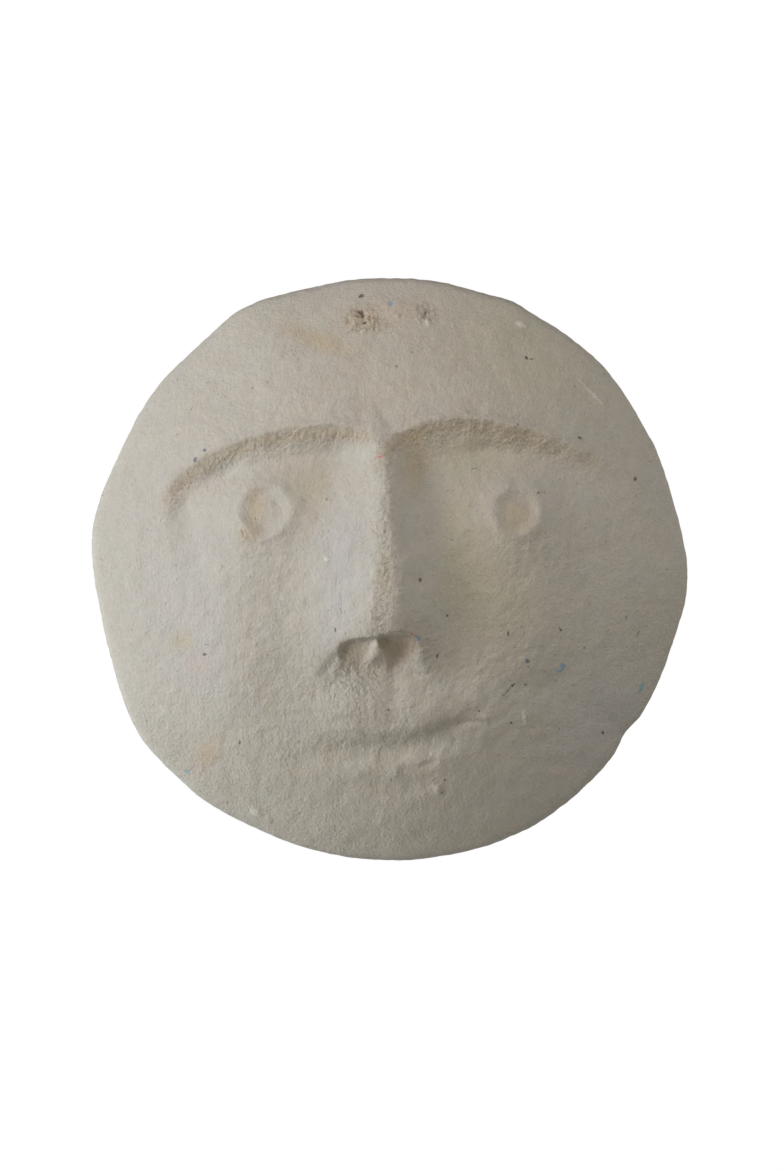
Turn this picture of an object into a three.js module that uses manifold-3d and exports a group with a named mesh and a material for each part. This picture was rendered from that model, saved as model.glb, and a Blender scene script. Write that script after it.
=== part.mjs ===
// A moon face wall plaque: one shell of pressed paper pulp with a face built up on it by hand.
// Millimetres, +Z up. The face looks along -Y, and the flat rim of its open back lies in the plane y = 0.
// The origin is where the plaque bears on the wall, on the hanging pad just above the nail pocket.

import * as THREE from 'three'
import Module from 'manifold-3d'

// Driving sizes of the shell

const FACE_RADIUS = 96
const RIM_DEPTH = 9
const RIM_ROLL = 3
const BACK_ROLL = 1.2
const DOME_RISE = 37
const DOME_EDGE_SLOPE = 43
const WALL = 9
const RIM_WIDTH = 7

// Driving sizes of the hanging pad and its nail pocket, behind the forehead

const HANG_FROM_EDGE = 12.5
const POCKET_WIDTH = 16
const POCKET_HEIGHT = 10
const POCKET_DEPTH = 12
const POCKET_BELOW_ORIGIN = 6
const PAD_BELOW_POCKET = 6
const PAD_BESIDE_POCKET = 13
const PAD_CORNER = 9

// How finely the surfaces are divided: rings stand closer together in the face than outside it.

const FACE_RINGS = 28
const FACE_REACH = 0.68
const EDGE_RINGS = 6
const EDGE_REACH = 0.98
const HOLLOW_RINGS = 12
const CORNER_STEPS = 6
const CUT_PAST = 5

// The carving is drawn in mm on a face of 96 mm radius, and grows with the face.

const CARVING_SCALE = FACE_RADIUS / 96
const CARVING_FADE = { from: 0.86, to: 1 }
const OUTLINE_REACH = { from: 0.45, to: 1 }

// Swells and the one dent of the hand-trimmed outline: direction in degrees, height, half width in degrees.

const OUTLINE_SWELLS = [
  { toward: -2, high: 2.3, wide: 9 },
  { toward: 46, high: 1.0, wide: 10 },
  { toward: 65, high: 0.9, wide: 4 },
  { toward: 119, high: 2.6, wide: 9 },
  { toward: 143, high: 1.3, wide: 12 },
  { toward: 172, high: 2.9, wide: 12 },
  { toward: 214, high: 3.0, wide: 12 },
  { toward: 231, high: 1.4, wide: 8 },
  { toward: 298, high: 0.9, wide: 14 },
  { toward: 325, high: -1.6, wide: 3.5 },
]

// Each brow is a low ridge over a step down into the eye socket. The depth and the width of the step change
// from its first end to its last, and it rises and falls away at shares of the straight line between them.

const BROW_RIDGE = { high: 1.2, wide: 9 }
const BROW_EDGE = 1.6
const SOCKET_BACK = 17
const BROWS = [
  {
    line: [[-76, 17], [-75, 41], [-22, 53], [-8, 45]],
    deep: [4.4, 4.2],
    hollow: 1.4,
    wide: [6.5, 9.5],
    rise: [-0.05, 0.2],
    fall: [0.96, 1.07],
  },
  {
    line: [[-3, 40], [6.5, 51], [33, 59], [85, 27.5]],
    deep: [2.8, 4.8],
    hollow: 1.25,
    wide: [14, 4],
    rise: [-0.07, 0.02],
    fall: [0.46, 1.08],
  },
]
const SOCKET_CORNERS = [
  { x: -23, z: 22, wide: 9, tall: 15, high: -1.2 },
  { x: 15, z: 24, wide: 9, tall: 15, high: -1.2 },
]

const EYE_MOUNDS = [
  { x: -43, z: 18, wide: 16, tall: 15, high: 3.4 },
  { x: 40, z: 17.5, wide: 17, tall: 15, high: 3.4 },
]
const EYES = [
  { x: -40.4, z: 18.9, radius: 8.0, deep: 2.0 },
  { x: 41.3, z: 18.6, radius: 7.4, deep: 1.5 },
]
const EYE_RING = { high: 0.6, wide: 2.2, beyond: 0.8 }
const EYE_FLOOR = 0.5

// Stations up the nose: where its ridge stands, half the width of its flat top, where its two feet stand, and
// how high the ridge is.

const NOSE = [
  { z: -36, ridge: -3.5, flat: 0.5, left: -25, right: 18, high: 14.4 },
  { z: -25, ridge: -3.2, flat: 1.2, left: -28, right: 17.5, high: 14.4 },
  { z: -15, ridge: -2.2, flat: 3.2, left: -30, right: 16.5, high: 14.2 },
  { z: 0, ridge: -0.9, flat: 1.6, left: -29, right: 15.5, high: 11.8 },
  { z: 20, ridge: -1.3, flat: 0.4, left: -22, right: 11.5, high: 8.0 },
  { z: 36, ridge: -1.8, flat: 0.3, left: -15, right: 6.5, high: 4.6 },
  { z: 46, ridge: -4.2, flat: 1.2, left: -12, right: 0, high: 2.2 },
  { z: 56, ridge: -8, flat: 1.0, left: -11, right: -4, high: 0.5 },
]
const NOSE_RIDGE_ROUND = 3.8
const NOSE_LEFT = { hollow: 1.3, footRound: 0.35 }
const NOSE_RIGHT = { hollow: 1.0, footRound: 0.15 }
const NOSE_TIP = { z: -21, back: 12.5, wingDrop: 5, middle: -3.5, wingsFrom: 5, wingsTo: 20 }
const NOSE_DROOP = { from: -12, share: 0.11, most: 1.3 }
const NOSE_ROOT = { from: 46, to: 58 }

// A nostril is a thumb hollow: its upper edge bends down from its top on both sides, its left wall is steep,
// and its floor slopes up to the right.

const NOSTRILS = [
  { x: -6.8, z: -22.4, bend: 0.018, wall: [-19.8, -14.8], slope: [-13, -6.2], deep: 3.2, down: 6 },
  { x: 2.0, z: -19.9, bend: 0.045, wall: [-5.8, -1.2], slope: [1.5, 11], deep: 5.6, down: 6.5 },
]
const NOSTRIL_EDGE = 3
const WING_GROOVES = [
  { x: -20, z: -31.5, wide: 3.6, tall: 1.7, turn: 45, high: -0.9 },
  { x: 15, z: -26.8, wide: 3.8, tall: 1.8, turn: -50, high: -1.1 },
]

const CHEEKS = [
  { x: -50, z: -20, wide: 15, tall: 36, turn: 4, high: 3.2 },
  { x: 42, z: -12, wide: 17, tall: 26, turn: -14, high: 2.0 },
]

const MUZZLE = [
  { x: -5, z: -44.5, wide: 24, tall: 10.5, turn: 4, high: 3.2 },
  { x: 5, z: -45, wide: 6, tall: 7, high: 0.7 },
  { x: -14, z: -43, wide: 6, tall: 7, high: 0.6 },
]

const MOUTH = [[-30, -54], [-5, -60.5], [12, -58], [42.5, -38]]
const MOUTH_REACH = { rise: [0, 0.25], fall: [0.55, 0.95] }
const MOUTH_VALLEY = { deep: 0.6, wide: 2.3 }
const MOUTH_STEP = { deep: 0.9, half: 3, back: 13 }
const UPPER_LIP = { high: 0.6, above: 4.5, wide: 3.5 }
const LOWER_LIP = { high: 1.0, below: 9, wide: 3.8, rise: [0.02, 0.2], fall: [0.5, 0.8] }
const CHEEK_FOLD = [[36, -38], [44, -40], [54, -34], [62, -28]]
const CHEEK_FOLD_DIP = { deep: 1.2, wide: 4.5, rise: [0, 0.5], fall: [0.5, 1] }
const JAW_DENT = { x: -47, z: -74, wide: 14, tall: 5, turn: -30, high: -1.5 }

const LINE_STEPS = 40

// Small helpers for the carving

function smoothStep(from, to, value) {
  const share = THREE.MathUtils.clamp((value - from) / (to - from), 0, 1)
  return share * share * (3 - 2 * share)
}

function bell(distance, width) {
  return Math.exp(-((distance / width) ** 2))
}

function between(rise, fall, share) {
  return smoothStep(rise[0], rise[1], share) * (1 - smoothStep(fall[0], fall[1], share))
}

// A soft oval mound, or a hollow where its height is negative.

function mound(spot, x, z) {
  const turn = THREE.MathUtils.degToRad(spot.turn ?? 0)
  const across = ((x - spot.x) * Math.cos(turn) + (z - spot.z) * Math.sin(turn)) / spot.wide
  const along = ((z - spot.z) * Math.cos(turn) - (x - spot.x) * Math.sin(turn)) / spot.tall
  return spot.high * Math.exp(-(across * across + along * along))
}

function mounds(spots, x, z) {
  return spots.reduce((sum, spot) => sum + mound(spot, x, z), 0)
}

// A carved line is a Bezier curve, sampled with the length run so far at each of its points.

function carvedLine(handles) {
  const [start, outOf, into, end] = handles.map(([x, z]) => new THREE.Vector2(x, z))
  const points = new THREE.CubicBezierCurve(start, outOf, into, end).getPoints(LINE_STEPS)
  const run = [0]
  for (let i = 1; i < points.length; i++) {
    run.push(run[i - 1] + points[i].distanceTo(points[i - 1]))
  }
  return { points, run }
}

// The distance of a place from a line, positive on the line's left, and the share of its length there.
// The first and last stretches run on straight, so the share goes past 0 and 1 beyond the ends.

function fromLine(line, x, z) {
  const { points, run } = line
  const last = points.length - 2
  let nearest = { off: Infinity, share: 0 }
  for (let i = 0; i <= last; i++) {
    const dx = points[i + 1].x - points[i].x
    const dz = points[i + 1].y - points[i].y
    const px = x - points[i].x
    const pz = z - points[i].y
    const lowest = i === 0 ? -Infinity : 0
    const highest = i === last ? Infinity : 1
    const step = THREE.MathUtils.clamp((px * dx + pz * dz) / (dx * dx + dz * dz), lowest, highest)
    const off = Math.hypot(px - step * dx, pz - step * dz)
    if (off < Math.abs(nearest.off)) {
      const side = dx * pz - dz * px < 0 ? -1 : 1
      const share = (run[i] + step * (run[i + 1] - run[i])) / run[last + 1]
      nearest = { off: side * off, share }
    }
  }
  return nearest
}

// The share of the straight way between a line's ends that lies beside a place, however the line bends.

function straightShare(handles, x, z) {
  const [[fromX, fromZ], [toX, toZ]] = [handles[0], handles[3]]
  const dx = toX - fromX
  const dz = toZ - fromZ
  return ((x - fromX) * dx + (z - fromZ) * dz) / (dx * dx + dz * dz)
}

// One measure of the nose at a height, smooth through its stations.

function noseAt(measure, z) {
  const top = NOSE.length - 1
  const at = THREE.MathUtils.clamp(z, NOSE[0].z, NOSE[top].z)
  let low = 0
  while (low < top - 1 && at >= NOSE[low + 1].z) low++
  const slope = (i) => {
    if (i === 0 || i === top) return 0
    return (NOSE[i + 1][measure] - NOSE[i - 1][measure]) / (NOSE[i + 1].z - NOSE[i - 1].z)
  }
  const gap = NOSE[low + 1].z - NOSE[low].z
  const s = (at - NOSE[low].z) / gap
  const rest = 1 - s
  return (1 + 2 * s) * rest * rest * NOSE[low][measure]
    + s * rest * rest * gap * slope(low)
    + s * s * (3 - 2 * s) * NOSE[low + 1][measure]
    + s * s * (s - 1) * gap * slope(low + 1)
}

// The forms of the face, each in mm on the drawn face

const BROW_LINES = BROWS.map((brow) => carvedLine(brow.line))
const MOUTH_LINE = carvedLine(MOUTH)
const CHEEK_FOLD_LINE = carvedLine(CHEEK_FOLD)
const NOSE_HIGHEST = Math.max(...NOSE.map((station) => station.high))

function browsAndSockets(x, z) {
  let height = mounds(SOCKET_CORNERS, x, z)
  BROWS.forEach((brow, i) => {
    const { off } = fromLine(BROW_LINES[i], x, z)
    const share = straightShare(brow.line, x, z)
    const toEnd = THREE.MathUtils.clamp(share, 0, 1)
    const deep = THREE.MathUtils.lerp(brow.deep[0], brow.deep[1], toEnd)
    const wide = THREE.MathUtils.lerp(brow.wide[0], brow.wide[1], toEnd)
    const below = Math.min((Math.hypot(off, BROW_EDGE) - off) / 2 / wide, 1)
    const back = bell(Math.max(-off - wide, 0), SOCKET_BACK)
    const ridge = BROW_RIDGE.high * bell(Math.max(off, 0), BROW_RIDGE.wide)
    const socket = (deep + BROW_RIDGE.high) * (1 - (1 - below) ** brow.hollow) * back
    const levelAgain = BROW_RIDGE.high * (1 - back)
    height += between(brow.rise, brow.fall, share) * (ridge - socket - levelAgain)
  })
  return height
}

function eyes(x, z) {
  let height = 0
  for (const eye of EYES) {
    const out = Math.hypot(x - eye.x, z - eye.z)
    height += EYE_RING.high * bell(out - eye.radius - EYE_RING.beyond, EYE_RING.wide)
    height -= eye.deep * (1 - smoothStep(eye.radius * EYE_FLOOR, eye.radius + EYE_RING.beyond, out))
  }
  return height
}

// How far the nose covers the face at a place, from 0 beside it to 1 on its ridge.

function noseCover(x, z) {
  const ridge = noseAt('ridge', z)
  const flat = noseAt('flat', z)
  const side = x < ridge ? NOSE_LEFT : NOSE_RIGHT
  const flank = (x < ridge ? ridge - noseAt('left', z) : noseAt('right', z) - ridge) - flat
  const out = Math.max(Math.abs(x - ridge) - flat, 0) / flank
  const round = NOSE_RIDGE_ROUND * noseAt('high', z) / NOSE_HIGHEST / flank
  const wedge = 1 + round - Math.hypot(out, round)
  const cover = (wedge + Math.hypot(wedge, side.footRound)) / (1 + Math.hypot(1, side.footRound))
  const wings = smoothStep(NOSE_TIP.wingsFrom, NOSE_TIP.wingsTo, Math.abs(x - NOSE_TIP.middle))
  const lowerEdge = NOSE_TIP.z - NOSE_TIP.wingDrop * wings
  const toEdge = (NOSE_DROOP.from - z) / (NOSE_DROOP.from - lowerEdge)
  const droop = NOSE_DROOP.share * THREE.MathUtils.clamp(toEdge, 0, NOSE_DROOP.most) ** 2
  const underside = (1 - droop) * (1 - smoothStep(0, NOSE_TIP.back, lowerEdge - z))
  const root = 1 - smoothStep(NOSE_ROOT.from, NOSE_ROOT.to, z)
  return THREE.MathUtils.clamp(cover, 0, 1) ** side.hollow * underside * root
}

function nostrils(x, z) {
  let height = mounds(WING_GROOVES, x, z)
  for (const nostril of NOSTRILS) {
    const belowEdge = nostril.z - nostril.bend * (x - nostril.x) ** 2 - z
    const across = between(nostril.wall, nostril.slope, x)
    const runOut = bell(Math.max(belowEdge - NOSTRIL_EDGE, 0), nostril.down)
    height -= nostril.deep * across * smoothStep(0, NOSTRIL_EDGE, belowEdge) * runOut
  }
  return height
}

function mouth(x, z) {
  const { off, share } = fromLine(MOUTH_LINE, x, z)
  const valley = MOUTH_VALLEY.deep * bell(off, MOUTH_VALLEY.wide)
  const { deep, half, back } = MOUTH_STEP
  const step = deep * smoothStep(-half, half, -off) * bell(Math.max(-off, 0), back)
  const upper = UPPER_LIP.high * bell(off - UPPER_LIP.above, UPPER_LIP.wide)
  const lower = LOWER_LIP.high * bell(off + LOWER_LIP.below, LOWER_LIP.wide)
  const lips = (upper - valley - step) * between(MOUTH_REACH.rise, MOUTH_REACH.fall, share)
  return lips + lower * between(LOWER_LIP.rise, LOWER_LIP.fall, share)
}

function cheekFold(x, z) {
  const { off, share } = fromLine(CHEEK_FOLD_LINE, x, z)
  const { deep, wide, rise, fall } = CHEEK_FOLD_DIP
  return -deep * bell(off, wide) * between(rise, fall, share)
}

function carving(x, z) {
  const cover = noseCover(x, z)
  let height = browsAndSockets(x, z) + mounds(EYE_MOUNDS, x, z)
  height = height * (1 - cover) + noseAt('high', z) * cover
  height += mounds(CHEEKS, x, z) + eyes(x, z) + nostrils(x, z) + mounds(MUZZLE, x, z)
  height += mouth(x, z) + cheekFold(x, z) + mound(JAW_DENT, x, z)
  return height
}

// The dome under the carving

function outlineRadius(angle) {
  const degrees = THREE.MathUtils.radToDeg(angle)
  let radius = FACE_RADIUS
  for (const swell of OUTLINE_SWELLS) {
    const away = THREE.MathUtils.euclideanModulo(degrees - swell.toward + 180, 360) - 180
    radius += swell.high * CARVING_SCALE * bell(away, swell.wide)
  }
  return radius
}

function domeHeight(share) {
  const edge = THREE.MathUtils.degToRad(DOME_EDGE_SLOPE)
  const fall = Math.sqrt(1 - (Math.sin(edge) * share) ** 2) - Math.cos(edge)
  return RIM_DEPTH + DOME_RISE * fall / (1 - Math.cos(edge))
}

function domeSlope(share, radius) {
  const edge = Math.sin(THREE.MathUtils.degToRad(DOME_EDGE_SLOPE))
  const run = Math.sqrt(1 - (edge * share) ** 2) * (1 - Math.sqrt(1 - edge * edge))
  return DOME_RISE * edge * edge * share / run / radius
}

function frontHeight(share, angle) {
  const radius = outlineRadius(angle)
  const x = share * radius * Math.cos(angle)
  const z = share * radius * Math.sin(angle)
  const reach = smoothStep(OUTLINE_REACH.from, OUTLINE_REACH.to, share)
  const evenRadius = FACE_RADIUS + CARVING_SCALE + (radius - FACE_RADIUS - CARVING_SCALE) * reach
  const dome = domeHeight(share * radius / evenRadius)
  const relief = carving(x / CARVING_SCALE, z / CARVING_SCALE) * CARVING_SCALE
  return dome + relief * (1 - smoothStep(CARVING_FADE.from, CARVING_FADE.to, share))
}

function hollowHeight(share, angle) {
  const radius = outlineRadius(angle)
  const outer = share * (radius - RIM_WIDTH) / radius
  return domeHeight(outer) - WALL * Math.hypot(1, domeSlope(outer, radius))
}

// Closed bodies from rings of points, each ring counter-clockwise as the face is seen

function ring(count, radiusAt, depthAt) {
  return Array.from({ length: count }, (_, i) => {
    const angle = 2 * Math.PI * i / count
    return [radiusAt(angle) * Math.cos(angle), -depthAt(angle), radiusAt(angle) * Math.sin(angle)]
  })
}

function centre(depth) {
  return [[0, -depth, 0]]
}

function bridge(inner, outer, index) {
  const innerSides = inner.length > 1 ? inner.length : 0
  const outerSides = outer.length > 1 ? outer.length : 0
  let i = 0
  let j = 0
  while (i < innerSides || j < outerSides) {
    const from = index(inner, i)
    const to = index(outer, j)
    const outerFirst = i === innerSides || (j < outerSides && (j + 1) * innerSides <= (i + 1) * outerSides)
    if (outerFirst) j++
    else i++
    const next = outerFirst ? index(outer, j) : index(inner, i)
    index.triangles.push(from, to, next)
  }
}

function closedBody(rings) {
  const starts = new Map()
  const points = []
  for (const one of rings) {
    starts.set(one, points.length)
    points.push(...one)
  }
  const index = (one, i) => starts.get(one) + i % one.length
  index.triangles = []
  for (let k = 1; k < rings.length; k++) {
    bridge(rings[k - 1], rings[k], index)
  }
  return { points: points.flat(), triangles: index.triangles }
}

function frontShare(k) {
  if (k <= FACE_RINGS) return FACE_REACH * k / FACE_RINGS
  return FACE_REACH + (EDGE_REACH - FACE_REACH) * (k - FACE_RINGS) / EDGE_RINGS
}

function plaqueBlock() {
  const rings = [centre(frontHeight(0, 0))]
  for (let k = 1; k <= FACE_RINGS + EDGE_RINGS; k++) {
    const share = frontShare(k)
    rings.push(ring(6 * k, (a) => share * outlineRadius(a), (a) => frontHeight(share, a)))
  }
  const sides = 6 * (FACE_RINGS + EDGE_RINGS + 1)
  rings.push(ring(sides, outlineRadius, () => RIM_DEPTH - RIM_ROLL))
  rings.push(ring(sides, outlineRadius, () => BACK_ROLL))
  rings.push(ring(sides, (a) => outlineRadius(a) - BACK_ROLL, () => 0))
  rings.push(centre(0))
  return closedBody(rings)
}

function backHollow() {
  const rings = [centre(hollowHeight(0, 0))]
  const innerRadius = (a) => outlineRadius(a) - RIM_WIDTH
  for (let k = 1; k <= HOLLOW_RINGS; k++) {
    const share = k / HOLLOW_RINGS
    rings.push(ring(6 * k, (a) => share * innerRadius(a), (a) => hollowHeight(share, a)))
  }
  rings.push(ring(6 * HOLLOW_RINGS, innerRadius, () => -CUT_PAST))
  rings.push(centre(-CUT_PAST))
  return closedBody(rings)
}

// An outline drawn in x and z, made solid from behind the back plane to a depth in front of it

function upright(shape, depth) {
  const geometry = new THREE.ExtrudeGeometry(shape, {
    depth: depth + CUT_PAST,
    bevelEnabled: false,
    curveSegments: CORNER_STEPS,
  })
  geometry.rotateX(Math.PI / 2)
  geometry.translate(0, CUT_PAST, 0)
  return geometry
}

function roundedOutline(low, high, halfWidth, corner) {
  const shape = new THREE.Shape()
  shape.moveTo(halfWidth, low + corner)
  shape.lineTo(halfWidth, high - corner)
  shape.absarc(halfWidth - corner, high - corner, corner, 0, Math.PI / 2, false)
  shape.absarc(corner - halfWidth, high - corner, corner, Math.PI / 2, Math.PI, false)
  shape.absarc(corner - halfWidth, low + corner, corner, Math.PI, 1.5 * Math.PI, false)
  shape.absarc(halfWidth - corner, low + corner, corner, 1.5 * Math.PI, 2 * Math.PI, false)
  return shape
}

const HANG_HEIGHT = FACE_RADIUS - HANG_FROM_EDGE
const POCKET_TOP = HANG_HEIGHT - POCKET_BELOW_ORIGIN
const POCKET_BOTTOM = POCKET_TOP - POCKET_HEIGHT

function hangingPad() {
  const low = POCKET_BOTTOM - PAD_BELOW_POCKET
  const halfWidth = POCKET_WIDTH / 2 + PAD_BESIDE_POCKET
  return upright(roundedOutline(low, FACE_RADIUS, halfWidth, PAD_CORNER), RIM_DEPTH + DOME_RISE)
}

function nailPocket() {
  return upright(roundedOutline(POCKET_BOTTOM, POCKET_TOP, POCKET_WIDTH / 2, POCKET_HEIGHT / 2), POCKET_DEPTH)
}

// Joining and cutting

const wasm = await Module()
wasm.setup()

function solid(body) {
  const mesh = new wasm.Mesh({
    numProp: 3,
    vertProperties: new Float32Array(body.points),
    triVerts: new Uint32Array(body.triangles),
  })
  return new wasm.Manifold(mesh)
}

function solidFromGeometry(geometry) {
  const seen = new Map()
  const points = []
  const triangles = []
  const position = geometry.getAttribute('position')
  const count = geometry.index ? geometry.index.count : position.count
  for (let i = 0; i < count; i++) {
    const at = geometry.index ? geometry.index.getX(i) : i
    const point = [position.getX(at), position.getY(at), position.getZ(at)]
    const key = point.map((value) => value.toFixed(4)).join()
    if (!seen.has(key)) {
      seen.set(key, points.length / 3)
      points.push(...point)
    }
    triangles.push(seen.get(key))
  }
  return solid({ points, triangles })
}

function geometryFrom(manifold) {
  const { vertProperties, triVerts } = manifold.getMesh()
  const geometry = new THREE.BufferGeometry()
  geometry.setAttribute('position', new THREE.BufferAttribute(vertProperties, 3))
  geometry.setIndex(new THREE.BufferAttribute(triVerts, 1))
  return geometry
}

function moonFaceShell() {
  const hollow = solid(backHollow()).subtract(solidFromGeometry(hangingPad()))
  const shell = solid(plaqueBlock()).subtract(hollow).subtract(solidFromGeometry(nailPocket()))
  const pulp = new THREE.MeshStandardMaterial({ color: 0xa49c8e, roughness: 0.92, metalness: 0 })
  const mesh = new THREE.Mesh(geometryFrom(shell), pulp)
  mesh.name = 'moon_face_shell'
  mesh.position.z = -HANG_HEIGHT
  return mesh
}

const plaque = new THREE.Group()
plaque.add(moonFaceShell())

export default plaque
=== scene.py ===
# %% [markdown]
# # A moon face wall plaque in paper pulp
#
# The real thing is one shell of paper pulp, pressed into a shallow dome about as wide as a hand is long,
# with a sleepy moon face built up on it with more pulp and smoothed with a wet finger. It was never
# painted. What makes it look real is not colour but relief: large soft forms, then finger marks, then
# crumbs, then the fine grain of the pulp itself. So this lesson spends most of its lines on moving the
# points of one fine mesh, from the largest form down to the smallest, and only then gives it a dry,
# slightly stained material.

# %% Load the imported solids
import math

import bmesh
import bpy
import numpy as np
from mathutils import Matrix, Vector, noise


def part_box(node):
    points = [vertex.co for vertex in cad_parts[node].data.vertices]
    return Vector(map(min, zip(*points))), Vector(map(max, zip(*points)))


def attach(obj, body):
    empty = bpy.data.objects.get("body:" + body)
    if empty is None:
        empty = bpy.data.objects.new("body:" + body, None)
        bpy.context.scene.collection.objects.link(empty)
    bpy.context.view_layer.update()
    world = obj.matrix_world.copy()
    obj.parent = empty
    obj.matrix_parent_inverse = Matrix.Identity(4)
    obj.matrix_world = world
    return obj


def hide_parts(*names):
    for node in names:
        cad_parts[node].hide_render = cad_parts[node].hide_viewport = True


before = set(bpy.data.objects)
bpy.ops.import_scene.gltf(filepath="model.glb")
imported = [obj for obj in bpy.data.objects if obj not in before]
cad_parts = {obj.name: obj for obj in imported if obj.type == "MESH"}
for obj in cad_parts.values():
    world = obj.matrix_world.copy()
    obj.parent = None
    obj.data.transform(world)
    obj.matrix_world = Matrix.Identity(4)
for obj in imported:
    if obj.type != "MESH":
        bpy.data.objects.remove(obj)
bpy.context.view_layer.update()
MM = 0.001
SHELL = "moon_face_shell"
shell_low, shell_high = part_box(SHELL)
print("solid", [round(v / MM, 1) for v in shell_high - shell_low], "mm")

# %% [markdown]
# ## Camera
#
# The photograph looks straight at the face from far away: the rim shows evenly all round and nothing seems
# to lean. A long lens from 2.4 m gives the same flat view. The frame is taller than wide, so Blender's
# sensor width stands for its height. The middle of the face sits 16 px above the middle of the 780 x 1170
# px picture, so the camera stands a little lower than the face and still looks level.

# %% Camera
PICTURE_HEIGHT_PX = 1170
MM_PER_PX = 203.2 / 618
FACE_CENTRE_Z = -83.5
FACE_ABOVE_MIDDLE_PX = 16
CAMERA_DISTANCE = 2.4
OUTLINE_DEPTH = 6

camera_data = bpy.data.cameras.new("camera")
camera = bpy.data.objects.new("camera", camera_data)
bpy.context.scene.collection.objects.link(camera)
camera_data.sensor_width = 36
picture_height = PICTURE_HEIGHT_PX * MM_PER_PX * MM
camera_data.lens = camera_data.sensor_width * CAMERA_DISTANCE / picture_height
camera_height = (FACE_CENTRE_Z - FACE_ABOVE_MIDDLE_PX * MM_PER_PX) * MM
camera.location = (0, -CAMERA_DISTANCE - OUTLINE_DEPTH * MM, camera_height)
camera.rotation_euler = (math.radians(90), 0, 0)
bpy.context.scene.camera = camera
print("lens", round(camera_data.lens, 1), "mm")

# %% [markdown]
# ## Light and floor
#
# Relief only shows where light skims over it. The photograph has a warm window at the left and the bluish
# light of the sky from the left too, almost in the plane of the wall. A cool one from above right and a
# weak warm one from the right keep the far side of the nose from going black. Two more behind the plane of
# the wall show the open back. Area lights give that softness. They are hidden from the camera, so that they
# don't show in views from the side. The background is white for the camera alone: a white world that also
# lit the plaque would flatten it.

# %% Lights
LIGHTS = {
    # degrees round from the right, degrees out of the wall, size in m, power in W, colour
    "window": (170, 32, 0.7, 15.9, (1.0, 0.96, 0.93)),
    "sky_left": (185, 5, 0.7, 9.0, (0.62, 0.82, 1.0)),
    "sky_above": (60, 32, 0.7, 8.6, (0.92, 0.92, 1.0)),
    "right_wall": (0, 32, 0.7, 3.2, (1.0, 0.97, 0.76)),
    "behind_left": (176, -42, 0.7, 5, (1.0, 0.98, 0.95)),
    "behind_right": (6, -50, 0.7, 3, (1.0, 0.98, 0.95)),
}
LIGHT_DISTANCE = 1.3
AIM_DEPTH = 20
face_centre = Vector((0, -AIM_DEPTH * MM, FACE_CENTRE_Z * MM))


def soft_light(name, around, out, size, watts, colour):
    data = bpy.data.lights.new(name, "AREA")
    data.shape = "DISK"
    data.size = size
    data.energy = watts
    data.color = colour
    lamp = bpy.data.objects.new(name, data)
    bpy.context.scene.collection.objects.link(lamp)
    around, out = math.radians(around), math.radians(out)
    toward = Vector((math.cos(around) * math.cos(out), -math.sin(out), math.sin(around) * math.cos(out)))
    lamp.location = face_centre + toward * LIGHT_DISTANCE
    lamp.rotation_euler = toward.to_track_quat("Z", "Y").to_euler()
    lamp.visible_camera = False


for light_name, settings in LIGHTS.items():
    soft_light(light_name, *settings)
print(len(LIGHTS), "lights")

# %% White background and a pale floor
WHITE = (1, 1, 1, 1)
AMBIENT_COLOUR = (1.0, 0.97, 0.93, 1)
AMBIENT_STRENGTH = 0.02
world = bpy.data.worlds.new("studio")
bpy.context.scene.world = world
world.use_nodes = True
world_nodes = world.node_tree.nodes
seen = world_nodes["Background"]
seen.inputs["Color"].default_value = WHITE
ambient = world_nodes.new("ShaderNodeBackground")
ambient.inputs["Color"].default_value = AMBIENT_COLOUR
ambient.inputs["Strength"].default_value = AMBIENT_STRENGTH
rays = world_nodes.new("ShaderNodeLightPath")
either = world_nodes.new("ShaderNodeMixShader")
world.node_tree.links.new(rays.outputs["Is Camera Ray"], either.inputs[0])
world.node_tree.links.new(ambient.outputs[0], either.inputs[1])
world.node_tree.links.new(seen.outputs[0], either.inputs[2])
world.node_tree.links.new(either.outputs[0], world_nodes["World Output"].inputs["Surface"])
bpy.context.scene.view_settings.view_transform = "Standard"

FLOOR_DROP = 0.95
FLOOR_RADIUS = 2.5
FLOOR_CORNERS = 96
FLOOR_COLOUR = (0.8, 0.79, 0.77, 1)
FLOOR_ROUGHNESS = 0.8
floor_bm = bmesh.new()
bmesh.ops.create_circle(floor_bm, cap_ends=True, segments=FLOOR_CORNERS, radius=FLOOR_RADIUS)
bmesh.ops.translate(floor_bm, verts=floor_bm.verts, vec=(0, 0, -FLOOR_DROP))
floor_mesh = bpy.data.meshes.new("floor")
floor_bm.to_mesh(floor_mesh)
floor_bm.free()
floor = bpy.data.objects.new("floor", floor_mesh)
bpy.context.scene.collection.objects.link(floor)
floor_material = bpy.data.materials.new("pale_floor")
floor_material.use_nodes = True
floor_shader = floor_material.node_tree.nodes["Principled BSDF"]
floor_shader.inputs["Base Color"].default_value = FLOOR_COLOUR
floor_shader.inputs["Roughness"].default_value = FLOOR_ROUGHNESS
floor_mesh.materials.append(floor_material)
print("floor", FLOOR_DROP, "m below the nail")

# %% [markdown]
# ## Tools for the relief
#
# A face this shallow is a height field: one height in front of the wall for each place across and up. The
# forms are built from four tools that a sculptor would know: a smooth step, a bell-shaped ridge, an oval
# mound, and a line drawn with the finger, measured by how far a place lies from it and how far along. numpy
# works on all the points at once, so a hundred thousand points take a second.

# %% Steps, bells and mounds
def smooth_step(low, high, value):
    share = np.clip((value - low) / (high - low), 0, 1)
    return share * share * (3 - 2 * share)


def bell(distance, width):
    return np.exp(-((distance / width) ** 2))


def between(rise, fall, share):
    return smooth_step(*rise, share) * (1 - smooth_step(*fall, share))


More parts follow.
